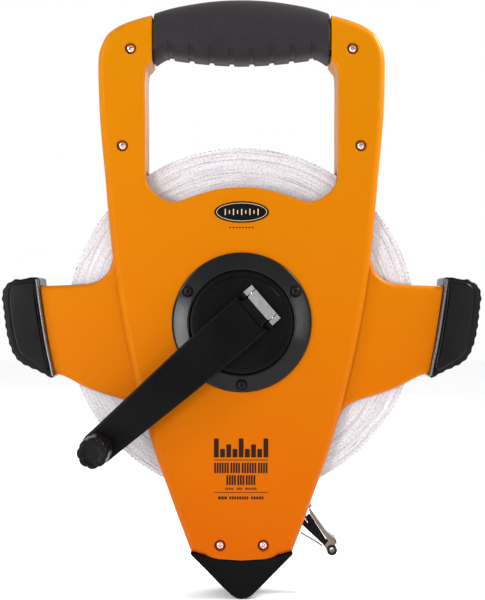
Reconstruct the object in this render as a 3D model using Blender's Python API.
"""Surveyor's long-tape reel: open two-half frame with hand grip, wing bumpers and
tip boot, a 3:1 planetary crank hub, a wound 13 mm blade and its folding end hook.

Frame of the model: metres, +Z up, front of the reel faces -Y.  The origin lies on
the spin axis, on the flat rear face.  All dimensions below are in millimetres.
"""
import math
import bpy
import bmesh
from mathutils import Matrix, Vector

MM = 0.001
GAP = 0.3                   # running or seating gap between neighbouring pieces

# ---- depth stations (Y) ------------------------------------------------------
Y_REAR = 0.0                # rear flat face
Y_FRONT = -36.0             # front flat face
Y_PART = -18.0              # parting plane of the two halves
WING_STEP = 5.0             # wings lie this much below the flat faces
Y_CAV_F, Y_CAV_R = -26.5, -9.5     # reel cavity between the two panels
BLADE_W = 13.0              # blade width
BLADE_T = 0.46              # blade thickness, from a 60.96 m blade
R_CAVITY = 110.6            # clearance radius round the winding
R_WIND = 107.9              # outer radius of the full winding
R_CORE = 48.0               # drum radius

# ---- gear train --------------------------------------------------------------
MODULE = 1.25
PRESSURE = math.radians(25.0)
T_RING, T_SUN, T_PLANET = 48, 24, 12
R_PLANETS = MODULE * (T_SUN + T_PLANET) / 2.0      # 22.5
GEAR_F, GEAR_R = -34.8, -28.2
BACKLASH = 0.30

# ---- crank -------------------------------------------------------------------
CRANK_ANGLE = math.radians(180.0 + 41.0)   # direction of the arm, from +X towards +Z
CRANK_R = 114.0             # hub axis to knob axis
ARM_F, ARM_R = -51.0, -41.0
FOLD_S = -15.0              # fold pin, measured along the arm from the hub axis
FOLD_Y = -46.0
KNOB_R = 9.2
KNOB_F = -80.5

# ---- blade end ---------------------------------------------------------------
LEAD_ANGLE = math.radians(-14.9)           # run of the free blade towards the mouth
TONGUE_ANGLE = math.radians(-50.4)
EYELET = (56.0, -141.5)     # hook pivot, X and Z

SCREWS = [(67.9, 167.4), (-67.9, 167.4), (72.9, 108.0), (-72.9, 108.0),
          (13.2, -136.3), (-13.2, -136.3)]

for o in list(bpy.data.objects):
    bpy.data.objects.remove(o, do_unlink=True)

PARTS = bpy.data.collections.new("surveyor_tape_reel")
CUTS = bpy.data.collections.new("cutters")
bpy.context.scene.collection.children.link(PARTS)
bpy.context.scene.collection.children.link(CUTS)


# ------------------------------------------------------------------ materials --
def material(name, colour, rough, metal=0.0):
    m = bpy.data.materials.new(name)
    m.use_nodes = True
    b = m.node_tree.nodes["Principled BSDF"]
    b.inputs["Base Color"].default_value = (*colour, 1.0)
    b.inputs["Roughness"].default_value = rough
    b.inputs["Metallic"].default_value = metal
    m.diffuse_color = (*colour, 1.0)
    return m


ORANGE = material("orange_abs", (0.80, 0.235, 0.004), 0.42)
RUBBER = material("charcoal_rubber", (0.035, 0.030, 0.036), 0.75)
BLACK = material("black_nylon", (0.012, 0.012, 0.014), 0.45)
STEEL = material("zinc_steel", (0.62, 0.60, 0.58), 0.35, 1.0)
BRASS = material("sintered_bronze", (0.55, 0.38, 0.17), 0.45, 1.0)
ACETAL = material("natural_acetal", (0.78, 0.77, 0.72), 0.45)
BLADE = material("white_blade", (0.80, 0.79, 0.80), 0.40)
BADGE = material("badge_black", (0.010, 0.010, 0.011), 0.30)


# -------------------------------------------------------------------- helpers --
def put(obj, mat=None, cutter=False):
    (CUTS if cutter else PARTS).objects.link(obj)
    if cutter:
        obj.hide_render = True
        obj.display_type = 'WIRE'
    if mat:
        obj.data.materials.clear()
        obj.data.materials.append(mat)
    return obj


def outward(bm):
    """Faces point out of the solid."""
    bmesh.ops.recalc_face_normals(bm, faces=bm.faces)
    if bm.calc_volume(signed=True) < 0:
        bmesh.ops.reverse_faces(bm, faces=bm.faces)


def mesh_of(obj_curve, name):
    """Mesh made from a curve object; caps welded, curve removed."""
    bpy.context.scene.collection.objects.link(obj_curve)
    bpy.context.view_layer.update()
    dg = bpy.context.evaluated_depsgraph_get()
    me = bpy.data.meshes.new_from_object(obj_curve.evaluated_get(dg))
    me.transform(obj_curve.matrix_world)
    bpy.data.objects.remove(obj_curve, do_unlink=True)
    bm = bmesh.new()
    bm.from_mesh(me)
    bmesh.ops.remove_doubles(bm, verts=bm.verts, dist=0.00001)
    bm.normal_update()
    # flat caps become single faces again
    inner = [e for e in bm.edges if len(e.link_faces) == 2 and
             e.link_faces[0].normal.dot(e.link_faces[1].normal) > 0.99999 and
             abs(e.link_faces[0].normal.y) > 0.999]
    if inner:
        bmesh.ops.dissolve_edges(bm, edges=inner, use_verts=False)
    outward(bm)
    bm.to_mesh(me)
    bm.free()
    me.name = name
    return me


def prism(name, outline, y0, y1, mat=None, cutter=False, round_front=0.0,
          round_rear=0.0, seg=2):
    """Flat outline in X and Z (mm) carried from depth y0 to depth y1."""
    cu = bpy.data.curves.new(name, 'CURVE')
    cu.dimensions = '2D'
    cu.fill_mode = 'BOTH'
    cu.extrude = abs(y1 - y0) * 0.5 * MM
    sp = cu.splines.new('POLY')
    sp.points.add(len(outline) - 1)
    for i, (x, z) in enumerate(outline):
        sp.points[i].co = (x * MM, z * MM, 0.0, 1.0)
    sp.use_cyclic_u = True
    ob = bpy.data.objects.new(name + "_outline", cu)
    ob.matrix_world = (Matrix.Translation((0, (y0 + y1) * 0.5 * MM, 0)) @
                       Matrix.Rotation(math.pi / 2, 4, 'X'))
    me = mesh_of(ob, name)
    lo, hi = min(y0, y1) * MM, max(y0, y1) * MM
    for rad, level in ((round_front, lo), (round_rear, hi)):
        if rad <= 0.0:
            continue
        bm = bmesh.new()
        bm.from_mesh(me)
        edges = [e for e in bm.edges if all(abs(v.co.y - level) < 1e-6 for v in e.verts)]
        bmesh.ops.bevel(bm, geom=edges, offset=rad * MM, segments=seg, profile=0.5,
                        affect='EDGES', clamp_overlap=True)
        outward(bm)
        bm.to_mesh(me)
        bm.free()
    return put(bpy.data.objects.new(name, me), mat, cutter)


def turned(name, profile, mat=None, cutter=False, steps=48, centre=(0.0, 0.0),
           closed=True):
    """Profile of (radius, y) in mm turned about an axis parallel to Y.
    A closed profile is a ring; an open one starts and ends on the axis."""
    me = bpy.data.meshes.new(name)
    bm = bmesh.new()
    vs = [bm.verts.new((r * MM, 0.0, y * MM)) for r, y in profile]
    for a, b in zip(vs, vs[1:]):
        bm.edges.new((a, b))
    if closed:
        bm.edges.new((vs[-1], vs[0]))
    n = steps
    for_geom = list(bm.verts) + list(bm.edges)
    bmesh.ops.spin(bm, geom=for_geom, cent=(0, 0, 0), axis=(0, 0, 1),
                   angle=2 * math.pi, steps=n, use_merge=True)
    bmesh.ops.remove_doubles(bm, verts=bm.verts, dist=0.00001)
    outward(bm)
    # axis Z of the lathe becomes the Y axis of the reel
    bm.transform(Matrix(((1, 0, 0, centre[0] * MM), (0, 0, 1, 0.0),
                         (0, -1, 0, centre[1] * MM), (0, 0, 0, 1))))
    outward(bm)
    bm.to_mesh(me)
    bm.free()
    me.shade_smooth()
    me.set_sharp_from_angle(angle=math.radians(35))
    return put(bpy.data.objects.new(name, me), mat, cutter)


def rod(name, centre, radius, y0, y1, mat=None, cutter=False, steps=20):
    """Round bar parallel to Y."""
    me = bpy.data.meshes.new(name)
    bm = bmesh.new()
    bmesh.ops.create_cone(bm, cap_ends=True, segments=steps, radius1=radius * MM,
                          radius2=radius * MM, depth=abs(y1 - y0) * MM)
    bm.transform(Matrix.Translation((centre[0] * MM, (y0 + y1) * 0.5 * MM, centre[1] * MM))
                 @ Matrix.Rotation(math.pi / 2, 4, 'X'))
    bm.to_mesh(me)
    bm.free()
    me.shade_smooth()
    me.set_sharp_from_angle(angle=math.radians(40))
    return put(bpy.data.objects.new(name, me), mat, cutter)


def box(name, lo, hi, mat=None, cutter=False):
    me = bpy.data.meshes.new(name)
    bm = bmesh.new()
    bmesh.ops.create_cube(bm, size=1.0)
    size = [(h - l) * MM for l, h in zip(lo, hi)]
    mid = [(h + l) * 0.5 * MM for l, h in zip(lo, hi)]
    bm.transform(Matrix.Translation(mid) @ Matrix.Diagonal((*size, 1.0)))
    bm.to_mesh(me)
    bm.free()
    return put(bpy.data.objects.new(name, me), mat, cutter)


def boolean(obj, tool, op='DIFFERENCE'):
    m = obj.modifiers.new(op.lower() + "_" + tool.name, 'BOOLEAN')
    m.operation = op
    m.object = tool
    m.solver = 'EXACT'
    return obj


def smooth(points, per=4, closed=False):
    """Catmull-Rom curve through the points, 'per' pieces to a span."""
    n = len(points)
    out = []
    spans = n if closed else n - 1
    for i in range(spans):
        p = [points[(i + k) % n] if closed else points[min(max(i + k, 0), n - 1)]
             for k in (-1, 0, 1, 2)]
        for j in range(per):
            t = j / per
            out.append(tuple(0.5 * (2 * p[1][a] + (p[2][a] - p[0][a]) * t +
                                    (2 * p[0][a] - 5 * p[1][a] + 4 * p[2][a] - p[3][a]) * t * t +
                                    (3 * p[1][a] - p[0][a] - 3 * p[2][a] + p[3][a]) * t ** 3)
                             for a in (0, 1)))
    if not closed:
        out.append(tuple(points[-1]))
    return out


def mirrored(half):
    """Half outline from the top of the centre line down its +X side, closed on -X."""
    left = [(-x, z) for x, z in reversed(half) if abs(x) > 1e-6]
    return half + left


def grown(outline, d):
    """Outline moved outwards by d (inwards when d is negative)."""
    area = sum(a[0] * b[1] - b[0] * a[1] for a, b in zip(outline, outline[1:] + outline[:1]))
    sign = 1.0 if area > 0 else -1.0
    n, out = len(outline), []
    for i in range(n):
        a, b, c = outline[i - 1], outline[i], outline[(i + 1) % n]
        u = Vector((b[0] - a[0], b[1] - a[1])).normalized()
        v = Vector((c[0] - b[0], c[1] - b[1])).normalized()
        nu, nv = Vector((u.y, -u.x)) * sign, Vector((v.y, -v.x)) * sign
        m = nu + nv
        m = m / max(m.length_squared * 0.5, 0.4)
        out.append((b[0] + m.x * d, b[1] + m.y * d))
    return out


def arc(cx, cz, r, a0, a1, n):
    return [(cx + r * math.cos(math.radians(a0 + (a1 - a0) * i / n)),
             cz + r * math.sin(math.radians(a0 + (a1 - a0) * i / n))) for i in range(n + 1)]


# --------------------------------------------------------------- frame halves --
TOP = [(0, 188.8), (53.5, 188.7), (60.5, 187.1), (68.5, 184.6), (74.4, 182.2),
       (79, 179.4), (82, 176.9), (84.2, 173.6), (86.6, 168.4), (87.8, 163.1),
       (88.1, 157.7)]
LEG = [(88.1, 157.7), (87.9, 147), (87.2, 128.4), (85.7, 108.9), (83.8, 89.4),
       (81.8, 66), (78.9, 38), (73.7, 3), (66.2, -33), (58, -64), (52.2, -83),
       (45.7, -101), (38.7, -120.5), (31.1, -140.3)]
BOOT_TOP = [(31.1, -140.3), (23, -142.6), (14, -144.4), (0, -145.3)]
SPIGOT = [(22.5, -142.7), (5.5, -159.5), (0, -161.5)]

body_half = TOP + LEG[1:] + [(24.5, -142.2)] + SPIGOT
BODY = mirrored(body_half)

WING_R = [(60, 45.5), (78.6, 42), (80.2, 36.7), (82, 31.6), (85.8, 27.4), (90.5, 24.8),
       (96.5, 23.5), (123, 22.4), (132.4, 22.4), (137.2, 19.6), (139.2, 14.6),
       (138.4, 6), (134.8, -14.6), (132.6, -23.6), (127.5, -28.8), (112.6, -32.3),
       (107.2, -34.3), (97.8, -39.2), (84.9, -44.1), (69.6, -49), (62.8, -53.8),
       (59.6, -60.4), (50, -61.5)]

HAND = mirrored([(0, 161.8), (30, 162.4), (52, 161.5), (56.6, 158.2), (58.9, 153.1),
                 (58.9, 100), (58.6, 90), (57.4, 84.5), (53.1, 79.2), (47.2, 75.2),
                 (41.5, 73.5), (36.9, 74.6), (22.9, 79.4), (11, 82), (0, 82.7)])

GRIP_BAR_X = 55.0           # half length of the reduced bar under the grip


def frame_half(name, front):
    s = 1 if front else -1
    face = Y_FRONT if front else Y_REAR
    part = Y_PART - 0.15 * s
    wing = face + WING_STEP * s
    ob = prism(name, BODY, face, part, ORANGE,
               round_front=3.2 if front else 0.0, round_rear=0.0 if front else 3.2, seg=2)
    for side in (1, -1):
        pts = [(side * x, z) for x, z in WING_R]
        w = prism("%s_wing_%d" % (name, side + 1), pts, wing, part - 0.1 * s, cutter=True,
                  round_front=2.0 if front else 0.0, round_rear=0.0 if front else 2.0, seg=2)
        boolean(ob, w, 'UNION')
    boolean(ob, CAVITY)
    boolean(ob, HAND_CUT)
    boolean(ob, BAR_CUT)
    boolean(ob, SPIGOT_CUT_F if front else SPIGOT_CUT_R)
    boolean(ob, MOUTH_CUT)
    boolean(ob, HUB_CUT if front else AXLE_CUT)
    if front:
        boolean(ob, SEAT_CUT)
    boolean(ob, BORE_CUT)
    return ob


# reel cavity, open between the panels at both sides
CAVITY = rod("cavity_cut", (0, 0), R_CAVITY, Y_CAV_F, Y_CAV_R, cutter=True, steps=60)
HAND_CUT = prism("hand_cut", HAND, -45, 9, cutter=True)

# top bar is reduced all round where the grip halves lie on it
bar = box("bar_cut", (-GRIP_BAR_X, -50, 150), (GRIP_BAR_X, 14, 206), cutter=True)
bar_core = box("bar_core", (-GRIP_BAR_X - 5, -31.5, 168.3), (GRIP_BAR_X + 5, -4.5, 185.2),
               cutter=True)
BAR_CUT = boolean(bar, bar_core)

# the tip spigot is thinner than the frame, so that the boot lies flush
spig = [(-40, -170), (40, -170), (40, -141.0)] + \
       [(x, z) for x, z in [(30.3, -140.5), (23, -142.6), (14, -144.4), (0, -145.3),
                            (-14, -144.4), (-23, -142.6), (-30.3, -140.5)]] + [(-40, -141.0)]
SPIGOT_CUT_F = prism("spigot_cut_front", spig, -50, -31.5, cutter=True)
SPIGOT_CUT_R = prism("spigot_cut_rear", spig, -4.5, 14, cutter=True)

# blade mouth: straight slot along the free run of the blade
ux, uz = math.cos(LEAD_ANGLE), math.sin(LEAD_ANGLE)
LEAD_R = R_WIND + GAP + BLADE_T / 2
lead_start = (LEAD_R * uz, -LEAD_R * ux)        # tangent point on the winding


def along(d, off=0.0):
    """Point d mm along the free run, off mm to its outer side."""
    return (lead_start[0] + ux * d + uz * off, lead_start[1] + uz * d - ux * off)


MOUTH_CUT = prism("mouth_cut", [along(14, 1.6), along(60, 2.4), along(82, 6.0),
                                along(82, -6.5), along(60, -2.6), along(14, -1.8)],
                  Y_CAV_F + 0.4, Y_CAV_R - 0.4, cutter=True)
HUB_CUT = rod("hub_cut", (0, 0), 33.8, -60, -20, cutter=True, steps=48)
AXLE_CUT = rod("axle_cut", (0, 0), 5.0, -20, -3.0, cutter=True, steps=24)

# screw seats: counterbores and housing threads in one cutter, through bores in another
def bores(name, holes):
    """Round holes (x, z, radius, y0, y1) parallel to Y, as one cutter."""
    bm = bmesh.new()
    for x, z, r, y0, y1 in holes:
        bmesh.ops.create_cone(
            bm, cap_ends=True, segments=10 if r < 3 else 14, radius1=r * MM, radius2=r * MM,
            depth=(y1 - y0) * MM,
            matrix=Matrix.Translation((x * MM, (y0 + y1) / 2 * MM, z * MM)) @
            Matrix.Rotation(math.pi / 2, 4, 'X'))
    me = bpy.data.meshes.new(name)
    bm.to_mesh(me)
    bm.free()
    return put(bpy.data.objects.new(name, me), cutter=True)


HOUSING_SCREWS = [(37.8 * math.cos(math.radians(a)), 37.8 * math.sin(math.radians(a)))
                  for a in (30, 150, 270)]
SEAT_CUT = bores("seat_cut", [(x, z, 3.4, -45.0, -33.0) for x, z in SCREWS] +
                 [(x, z, 1.6, -43.0, -29.0) for x, z in HOUSING_SCREWS])
BORE_CUT = bores("bore_cut", [(x, z, 1.85, -34.0, -8.6) for x, z in SCREWS])

frame_front = frame_half("frame_front", True)
frame_rear = frame_half("frame_rear", False)

# badge recess in the front face
oval = [(16.5 * math.cos(math.tau * i / 28), 67.4 + 6.4 * math.sin(math.tau * i / 28))
        for i in range(28)]
boolean(frame_front, prism("badge_cut", grown(oval, GAP), -45, -35.2, cutter=True))
badge_plate = prism("badge_plate", oval, -36.6, -35.5, BADGE, round_front=0.35, seg=1)

# -------------------------------------------------------------------- hand grip --
GRIP_TOP = [(-53.5, 191.2), (-40, 195.1), (-20, 198.5), (0, 199.6), (20, 198.5),
            (40, 195.1), (53.5, 191.2)]


def grip_outline():
    """Arched top, and finger grooves along the underside."""
    top = smooth(GRIP_TOP, 3)
    low = []
    n = 50
    for i in range(n + 1):
        x = 52.6 - 105.2 * i / n
        base = 160.1 + 3.6 * (1 - math.cos(math.pi * min(abs(x) / 44.0, 1.0))) / 2
        wave = 0.85 * math.cos(2 * math.pi * x / 12.5) if abs(x) < 50 else 0.0
        low.append((x, base + 0.85 - wave))
    end_r = [(54.2, 189.0), (54.2, 163.7)]
    end_l = [(-54.2, 163.7), (-54.2, 189.0)]
    return top + end_r + low + end_l


GRIP = grip_outline()
bar_pocket = box("bar_pocket", (-80, -31.8, 168.0), (80, -4.2, 185.5), cutter=True)


def grip_half(name, front):
    if front:
        ob = prism(name, GRIP, -37.4, Y_PART - 0.15, RUBBER, round_front=6.0, seg=2)
    else:
        ob = prism(name, GRIP, Y_PART + 0.15, 0.0, RUBBER, round_rear=6.0, seg=2)
    return boolean(ob, bar_pocket)


grip_half("hand_grip_front", True)
grip_half("hand_grip_rear", False)

# ---------------------------------------------------------------------- bumpers --
BUMP_IN = [(123.6, 26.8), (125.6, 28.0), (129.6, 28.0)]
BUMP_OUT = [(133.6, 27.2), (139.2, 27), (144, 24.4), (146.8, 20.8), (147.9, 15.6),
       (147.3, 10.6), (146.6, 5), (146, -0.6), (145.2, -5.6), (144.1, -10.8),
       (142.6, -15.6), (140.6, -20.2), (137.4, -24.2), (133.4, -26.9), (128.8, -29),
       (124, -31.2), (119.8, -33.6)]
BUMP_END = [(116.6, -34.5), (114.6, -33.0), (114.8, -29.4)]


def bumper_outline():
    out = []
    pts = smooth(BUMP_OUT, 2)
    run = 0.0
    for i, p in enumerate(pts):
        a, b = pts[max(i - 1, 0)], pts[min(i + 1, len(pts) - 1)]
        t = Vector((b[0] - a[0], b[1] - a[1])).normalized()
        if i:
            run += math.dist(pts[i - 1], p)
        k = 0.45 * math.cos(2 * math.pi * run / 5.6) - 0.45
        out.append((p[0] - t.y * k, p[1] + t.x * k))
    return BUMP_IN + out + BUMP_END


wing_pocket_r = grown(WING_R, GAP)


def bumper(name, side):
    pts = [(side * x, z) for x, z in bumper_outline()]
    ob = prism(name, pts, -34.6, -1.4, RUBBER, round_front=1.8, round_rear=1.8, seg=2)
    pocket = prism(name + "_pocket", [(side * x, z) for x, z in wing_pocket_r],
                   Y_FRONT + WING_STEP - GAP, Y_REAR - WING_STEP + GAP, cutter=True)
    return boolean(ob, pocket)


bumper("bumper_right", 1)
bumper("bumper_left", -1)

# --------------------------------------------------------------------- tip boot --
boot_half = [(0, -145.6), (14, -144.7), (23, -142.9), (30.4, -140.85), (31.0, -141.2),
             (30.2, -142.6), (12, -161.2), (5.4, -167.0), (2.8, -168.4), (0, -168.7)]
tip_boot = prism("tip_boot", mirrored(boot_half), -36.0, 0.0, RUBBER,
                 round_front=1.6, round_rear=1.6, seg=2)
spigot_pocket = mirrored([(0, -140.0), (22.9, -140.0), (22.9, -142.9), (5.7, -159.9),
                          (0, -161.9)])
boolean(tip_boot, prism("spigot_pocket", spigot_pocket, -31.8, -4.2, cutter=True))

# ------------------------------------------------------------------- gear train --
def inv(a):
    return math.tan(a) - a


def gear(teeth, add, ded, phase, thin, flank=3):
    """Involute outline; a tooth lies at angle phase.  thin narrows each tooth (mm)."""
    rp = MODULE * teeth / 2
    rb = rp * math.cos(PRESSURE)
    half = math.pi / (2 * teeth) - thin / (2 * rp) + inv(PRESSURE)
    r0, r1 = rp - ded, rp + add
    out = []
    for k in range(teeth):
        c = phase + math.tau * k / teeth
        side = []
        for j in range(flank):
            r = max(rb, r0) + (r1 - max(rb, r0)) * j / (flank - 1)
            side.append((r, half - inv(math.acos(min(rb / r, 1.0)))))
        if rb > r0 + 0.01:
            side.insert(0, (r0, side[0][1]))
        ring = [(r, c - h) for r, h in side] + [(r, c + h) for r, h in reversed(side)]
        out += [(r * math.cos(a), r * math.sin(a)) for r, a in ring]
    return out


PLANET_AT = [math.radians(90 + 120 * k) for k in range(3)]

sun_gear = prism("sun_gear", gear(T_SUN, 1.1, 1.45, 0.0, BACKLASH / 2), GEAR_F, GEAR_R, ACETAL)
boolean(sun_gear, rod("sun_tail", (0, 0), 11.7, GEAR_R - 0.6, -20.4, cutter=True, steps=28),
        'UNION')
boolean(sun_gear, rod("sun_bore", (0, 0), 5.0, -60, 0, cutter=True, steps=24))

for k, a in enumerate(PLANET_AT):
    cx, cz = R_PLANETS * math.cos(a), R_PLANETS * math.sin(a)
    pts = gear(T_PLANET, 1.1, 1.4, a + math.pi / T_PLANET, BACKLASH / 2)
    me_ob = prism("planet_gear_" + "abc"[k], pts, GEAR_F + 0.2, GEAR_R - 0.2, ACETAL)
    boolean(me_ob, rod("planet_bore_%d" % k, (0, 0), 2.3, -60, 0, cutter=True, steps=16))
    # the gear spins about its own pin
    me_ob.location = (cx * MM, 0, cz * MM)
    bpy.data.objects["planet_bore_%d" % k].location = me_ob.location

# housing: turned flange with the ring gear inside it
gear_housing = turned("gear_housing", [
    (32.2, -39.7), (33.4, -39.9), (41.8, -37.9), (42.7, -37.2), (42.7, -36.3), (33.4, -36.3),
    (33.4, -27.7), (28.4, -27.7), (28.4, -35.1), (31.75, -35.1), (31.75, -39.3)],
    BLACK, steps=48)
ring_space = gear(T_RING, 1.4, 1.0, math.pi / T_RING, -BACKLASH / 2, flank=2)
boolean(gear_housing, prism("ring_space", ring_space, -35.6, -20, cutter=True))
boolean(gear_housing, bores("housing_bores", [(x, z, 1.85, -60, -20)
                                              for x, z in HOUSING_SCREWS]))
boolean(gear_housing, bores("housing_seats", [(x, z, 3.3, -60, -37.3)
                                              for x, z in HOUSING_SCREWS]))

crank_hub = turned("crank_hub", [
    (5.0, -38.6), (9.4, -38.6), (9.4, -40.4), (27.4, -40.4), (28.0, -40.2), (28.4, -39.7),
    (30.9, -39.5), (31.4, -39.0), (31.4, -35.4), (5.0, -35.4)], BLACK, steps=48)

boolean(crank_hub, bores("pin_bores", [(R_PLANETS * math.cos(a), R_PLANETS * math.sin(a),
                                        2.3, -38.9, -20) for a in PLANET_AT]))


def repeated(name, profile, places, mat, steps=10):
    """Identical turned pieces, each its own object on a shared mesh."""
    first = turned(name + "_1", profile, mat, steps=steps, closed=False)
    for k, (x, z) in enumerate(places):
        ob = first if k == 0 else put(bpy.data.objects.new("%s_%d" % (name, k + 1), first.data))
        ob.location = (x * MM, 0, z * MM)


repeated("planet_pin", [(0, -38.5), (2.0, -38.5), (2.0, -28.0), (0, -28.0)],
         [(R_PLANETS * math.cos(a), R_PLANETS * math.sin(a)) for a in PLANET_AT], STEEL)
repeated("frame_screw", [(0, -35.1), (1.9, -34.9), (2.9, -33.9), (2.9, -33.3),
                         (1.5, -33.3), (1.5, -9.0), (0, -9.0)], SCREWS, STEEL)
repeated("housing_screw", [(0, -39.0), (1.9, -38.8), (2.9, -38.0), (2.9, -37.6),
                           (1.3, -37.6), (1.3, -29.6), (0, -29.6)], HOUSING_SCREWS, BLACK)

# -------------------------------------------------------------------- reel core --
axle = turned("axle", [(0, -38.4), (4.2, -38.4), (4.7, -37.9), (4.7, -3.4), (0, -3.4)],
              STEEL, steps=24, closed=False)
boolean(axle, rod("axle_thread", (0, 0), 2.4, -60, -28, cutter=True, steps=14))
turned("crank_washer", [(2.7, -39.5), (8.8, -39.5), (8.8, -38.9), (2.7, -38.9)], STEEL, steps=28)
turned("axle_screw", [(0, -40.6), (3.4, -40.7), (4.9, -40.3), (4.9, -39.8), (2.1, -39.8),
                      (2.1, -28.6), (0, -28.3)], STEEL, steps=20, closed=False)
turned("reel_drum", [
    (8.4, -19.5), (12.0, -19.5), (12.0, -24.6), (15.5, -24.6), (15.5, -19.6), (43.6, -19.6),
    (43.6, -24.6), (48.0, -24.6), (48.0, -11.4), (43.6, -11.4), (43.6, -16.4), (15.5, -16.4),
    (15.5, -11.4), (8.4, -11.4)], BLACK, steps=36)
turned("rear_bush", [(5.0, -19.2), (8.1, -19.2), (8.1, -11.1), (10.4, -11.1), (10.4, -9.9),
                     (5.0, -9.9)], BRASS, steps=28)
turned("front_flange", [(12.0, -25.9), (66.0, -25.9), (66.0, -24.9), (12.0, -24.9)],
       BLACK, steps=40)
turned("rear_flange", [(11.0, -11.1), (66.0, -11.1), (66.0, -10.1), (11.0, -10.1)],
       BLACK, steps=40)
turned("tape_winding", [(R_CORE + GAP, -24.5), (R_WIND, -24.5), (R_WIND, -11.5),
                        (R_CORE + GAP, -11.5)], BLADE, steps=72)

# ------------------------------------------------------------------- crank arm ---
dx, dz = math.cos(CRANK_ANGLE), math.sin(CRANK_ANGLE)
KNOB_AT = (CRANK_R * dx, CRANK_R * dz)
# the arm is drawn along +X and turned to its resting direction
ARM_TURN = Matrix.Rotation(-CRANK_ANGLE, 4, 'Y')


def side_prism(name, profile, half_w, mat=None, cutter=False):
    """Outline in (along the arm, depth) carried across the arm's width."""
    bm = bmesh.new()
    vs = [bm.verts.new((s * MM, y * MM, -half_w * MM)) for s, y in profile]
    f = bm.faces.new(vs)
    ext = bmesh.ops.extrude_face_region(bm, geom=[f])
    bmesh.ops.translate(bm, vec=(0, 0, 2 * half_w * MM),
                        verts=[v for v in ext['geom'] if isinstance(v, bmesh.types.BMVert)])
    outward(bm)
    me = bpy.data.meshes.new(name)
    bm.to_mesh(me)
    bm.free()
    return put(bpy.data.objects.new(name, me), mat, cutter)


# seen from the front: tapered bar with a round end, narrowed between the hub's lugs
plan = [(-7.0, 13.7), (10, 13.7), (40, 13.0)] + \
       [(CRANK_R + 10.2 * math.sin(math.radians(a)), 10.2 * math.cos(math.radians(a)))
        for a in range(0, 91, 15)]
plan_tail = [(-30, 9.4), (-7.0, 9.4)]
plan_half = plan_tail + plan
plan_full = plan_half + [(s, -n) for s, n in reversed(plan_half) if n > 1e-6]
crank_arm = side_prism("crank_arm", [
    (-12.8, ARM_F), (-19.6, -44.3), (-19.5, -43.6), (-18.6, -42.2), (-17.0, -41.3),
    (-15.0, ARM_R), (CRANK_R + 11, ARM_R), (CRANK_R + 11, -50.0), (CRANK_R - 4, ARM_F)], 16, BLACK)
keep = prism("arm_plan", plan_full, -60, -30, cutter=True)
boolean(crank_arm, keep, 'INTERSECT')
# hollow underside of the moulding, and a boss for the spindle
hollow = prism("arm_hollow", [(6, 10.2), (40, 9.6), (CRANK_R - 14, 7.6), (CRANK_R - 14, -7.6),
                              (40, -9.6), (6, -10.2)], -48.4, -30, cutter=True)
boolean(crank_arm, hollow)
boolean(crank_arm, rod("spindle_bore", (CRANK_R, 0), 3.3, -60, -43.5, cutter=True, steps=18))


def across(name, s, y, r, half, steps=14):
    """Cutter rod across the arm."""
    me = bpy.data.meshes.new(name)
    bm = bmesh.new()
    bmesh.ops.create_cone(bm, cap_ends=True, segments=steps, radius1=r * MM, radius2=r * MM,
                          depth=2 * half * MM)
    bm.transform(Matrix.Translation((s * MM, y * MM, 0)))
    bm.to_mesh(me)
    bm.free()
    me.shade_smooth()
    me.set_sharp_from_angle(angle=math.radians(40))
    return bpy.data.objects.new(name, me)


boolean(crank_arm, put(across("arm_pin_bore", FOLD_S, FOLD_Y, 1.85, 30), cutter=True))

# lugs of the hub on both sides of the arm's tail
lug_profile = [(-12.8, ARM_F), (-19.6, -44.3), (-19.8, -38.9), (-9.2, -38.9), (-9.2, -48.0),
               (-10.4, -50.2), (-11.4, ARM_F)]
for sgn in (1, -1):
    lug = side_prism("lug_%d" % (sgn + 1), lug_profile, 1.9, cutter=True)
    lug.data.transform(Matrix.Translation((0, 0, sgn * 11.7 * MM)))
    lug.data.transform(ARM_TURN)
    boolean(crank_hub, lug, 'UNION')
hub_pin_bore = put(across("hub_pin_bore", FOLD_S, FOLD_Y, 1.85, 30), cutter=True)
hub_pin_bore.data.transform(ARM_TURN)
boolean(crank_hub, hub_pin_bore)
pin = put(across("crank_hinge_pin", FOLD_S, FOLD_Y, 1.5, 13.4, steps=16), STEEL)
pin.data.transform(ARM_TURN)
for ob in (crank_arm, keep, hollow, bpy.data.objects["spindle_bore"],
           bpy.data.objects["arm_pin_bore"]):
    ob.data.transform(ARM_TURN)

# ------------------------------------------------------------------------- knob --
lobes = [((KNOB_R - 0.45 + 0.45 * math.cos(8 * t)) * math.cos(t),
          (KNOB_R - 0.45 + 0.45 * math.cos(8 * t)) * math.sin(t))
         for t in (math.tau * i / 40 for i in range(40))]
knob = prism("crank_knob", lobes, KNOB_F, -54.2, BLACK, round_front=1.6, seg=2)
boolean(knob, rod("knob_collar", (0, 0), 10.4, -55.0, -51.6, cutter=True, steps=32), 'UNION')
boolean(knob, rod("knob_bore", (0, 0), 3.0, -90, -40, cutter=True, steps=18))
boolean(knob, rod("knob_seat", (0, 0), 5.2, -90, -78.6, cutter=True, steps=24))
for ob in (knob, bpy.data.objects["knob_collar"], bpy.data.objects["knob_bore"],
           bpy.data.objects["knob_seat"]):
    ob.location = (KNOB_AT[0] * MM, 0, KNOB_AT[1] * MM)
turned("knob_spindle", [(0, -80.0), (2.6, -79.9), (4.6, -79.4), (4.6, -78.9), (2.6, -78.9),
                        (2.6, -51.3), (3.0, -51.3), (3.0, -43.8), (0, -43.8)], STEEL, steps=20,
       centre=KNOB_AT, closed=False)

# --------------------------------------------------------------- end of the blade --
Y_MID = -18.0


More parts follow.
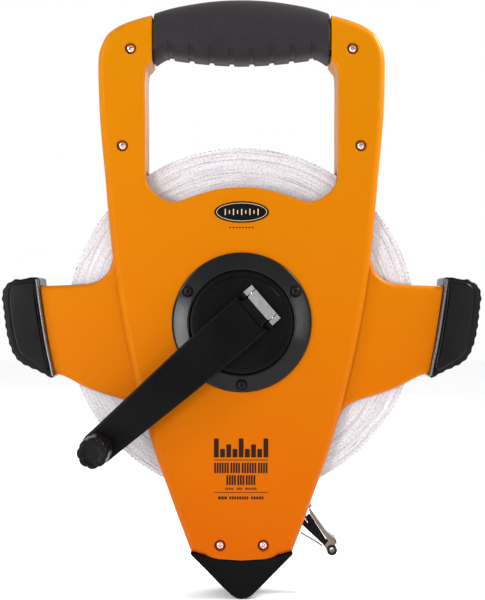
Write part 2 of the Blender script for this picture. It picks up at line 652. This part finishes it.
def ribbon(path, half_t):
    """Closed outline of a strip of thickness 2*half_t that follows the path."""
    up, down = [], []
    for i, p in enumerate(path):
        a, b = path[max(i - 1, 0)], path[min(i + 1, len(path) - 1)]
        t = Vector((b[0] - a[0], b[1] - a[1])).normalized()
        up.append((p[0] - t.y * half_t, p[1] + t.x * half_t))
        down.append((p[0] + t.y * half_t, p[1] - t.x * half_t))
    return up + down[::-1]


tx, tz = math.cos(TONGUE_ANGLE), math.sin(TONGUE_ANGLE)
TONGUE_0 = (39.4, -122.4)


def tongue(d, off):
    """Point d mm down the end tongue, off mm to its upper side."""
    return (TONGUE_0[0] + tx * d - tz * off, TONGUE_0[1] + tz * d + tx * off)


lead_path = [along(2.0), along(30.0), along(56.0), along(63.5), (36.6, -119.7), (38.8, -121.4),
             tongue(2.2, 0)]
prism("tape_lead", ribbon(lead_path, 0.28), -24.5, -11.5, BLADE)

# black tapered tongue over the end of the blade, eye at its narrow end
EYE_D = ((EYELET[0] - TONGUE_0[0]) * tx + (EYELET[1] - TONGUE_0[1]) * tz)
end_tongue = prism("end_tongue", [tongue(0, 3.9), tongue(0, -3.9), tongue(19.5, -1.5)] +
                   [(EYELET[0] + 3.1 * math.cos(a), EYELET[1] + 3.1 * math.sin(a)) for a in
                    [TONGUE_ANGLE + math.radians(d) for d in range(-120, 121, 30)]] +
                   [tongue(19.5, 1.5)],
                   Y_MID - 3.6, Y_MID + 3.6, RUBBER)
boolean(end_tongue, prism("tongue_slot", ribbon([tongue(-3, 0), tongue(2.6, 0)], 0.62),
                          -40, 0, cutter=True))
boolean(end_tongue, rod("eye_bore", EYELET, 2.3, -40, 0, cutter=True, steps=20))
turned("hook_eyelet", [(1.4, -24.2), (3.2, -24.2), (3.2, -23.6), (2.0, -23.6), (2.0, -12.4),
                       (3.2, -12.4), (3.2, -11.8), (1.4, -11.8)], STEEL, steps=24,
       centre=EYELET)

# steel end hook: strip folded back along the tongue, with two ears at the eyelet
strip = [tongue(-3.6, 8.2), tongue(-4.6, 7.4), tongue(-2.6, 6.2), tongue(4, 5.5),
         tongue(14, 4.9), tongue(18.6, 5.6), tongue(21.6, 6.4), tongue(24.0, 5.2)]
end_hook = prism("end_hook", ribbon(smooth(strip, 3), 0.45), Y_MID - 5.3, Y_MID + 5.3, STEEL)
ear = [tongue(13.5, 5.1), tongue(17.2, -2.4)] + \
      [(EYELET[0] + 3.3 * math.cos(a), EYELET[1] + 3.3 * math.sin(a)) for a in
       [TONGUE_ANGLE + math.radians(d) for d in range(-100, 61, 32)]] + [tongue(23.6, 5.3)]
for sgn in (1, -1):
    y = Y_MID + sgn * 4.6
    boolean(end_hook, prism("ear_%d" % (sgn + 1), ear, y - 0.55, y + 0.55, cutter=True), 'UNION')
boolean(end_hook, rod("ear_bore", EYELET, 2.3, -40, 0, cutter=True, steps=20))

# scribing prong held by the lower face of the tongue
prong = [tongue(20.2, -2.6), tongue(14.5, -4.4), tongue(9.5, -6.2), tongue(5.2, -7.7)]
prong_path = smooth(prong, 1)
prism("claw_prong", ribbon(prong_path, 0.35), Y_MID - 2.2, Y_MID + 2.2, STEEL)
